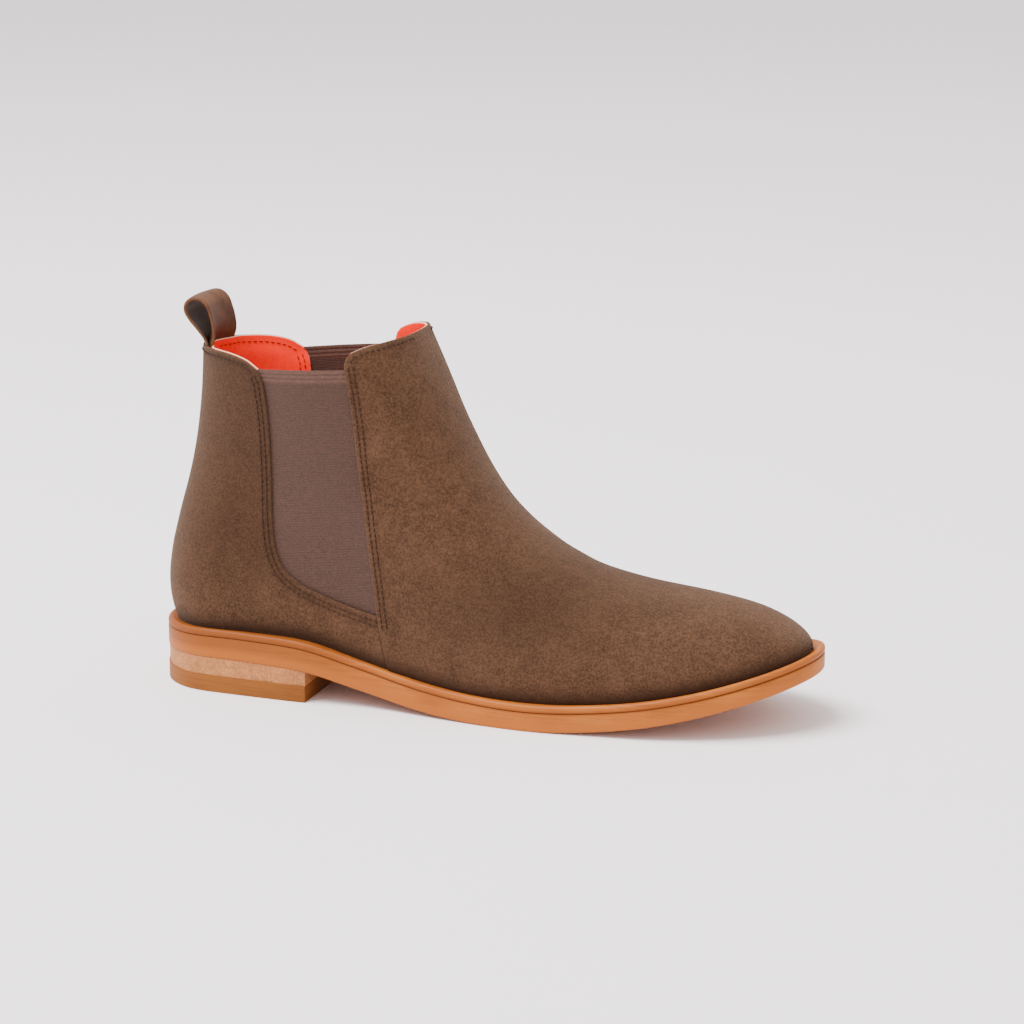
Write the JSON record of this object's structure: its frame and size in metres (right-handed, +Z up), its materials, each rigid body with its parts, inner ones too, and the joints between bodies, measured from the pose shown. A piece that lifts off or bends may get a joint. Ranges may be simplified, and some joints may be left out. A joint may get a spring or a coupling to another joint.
{
  "type": "chelsea boot",
  "caption": "Ankle boot for a right foot: suede upper with elastic side gores, leather pull tab, flat welted sole and stacked heel",
  "frame": {"origin": "on the floor, under the middle of the sole's length and width", "axes": "+X toward the toe, +Y toward the inner (medial) side, +Z up"},
  "size_m": [0.302, 0.1018, 0.1742],
  "materials": {
    "suede": "brushed suede with short nap",
    "elastic": "finely ribbed elastic webbing",
    "lining_leather": "smooth orange-red lining leather",
    "tab_leather": "smooth matt brown leather",
    "sole_tan": "smooth finished tan edge",
    "top_piece_rubber": "smooth tan rubber",
    "leatherboard": "matt speckled leatherboard",
    "fibreboard": "matt cellulose board",
    "cork": "granulated cork",
    "foam": "latex foam",
    "stiffener": "thermoplastic-impregnated board",
    "canvas": "woven cotton interlining",
    "steel": "plain steel"
  },
  "bodies": {
    "boot": {"outsole": "sole_tan", "welt": "sole_tan", "heel_lift_lower": "leatherboard", "heel_lift_upper": "leatherboard", "heel_top_piece": "top_piece_rubber", "heel_nails": "steel", "insole_board": "fibreboard", "shank": "steel", "waist_filler": "cork", "forefoot_filler": "cork", "heel_cushion": "foam", "sock_liner": "lining_leather", "vamp": "suede", "quarter_lateral": "suede", "quarter_medial": "suede", "gore_lateral": "elastic", "gore_medial": "elastic", "vamp_lining": "lining_leather", "quarter_lining": "lining_leather", "heel_counter": "stiffener", "toe_puff": "stiffener", "vamp_interlining": "canvas", "quarter_interlining": "canvas", "pull_tab_ends": "tab_leather"},
    "pull_tab": {"pull_tab_loop": "tab_leather"}
  },
  "joints": [
    {"name": "pull_tab_hinge", "type": "hinge", "parent": "boot", "child": "pull_tab", "pos_m": [-0.1292, -0.002, 0.1547], "axis": [0, 1, 0], "range_deg": [-55, 60], "stiffness_Nm_per_rad": 0.004}
  ]
}
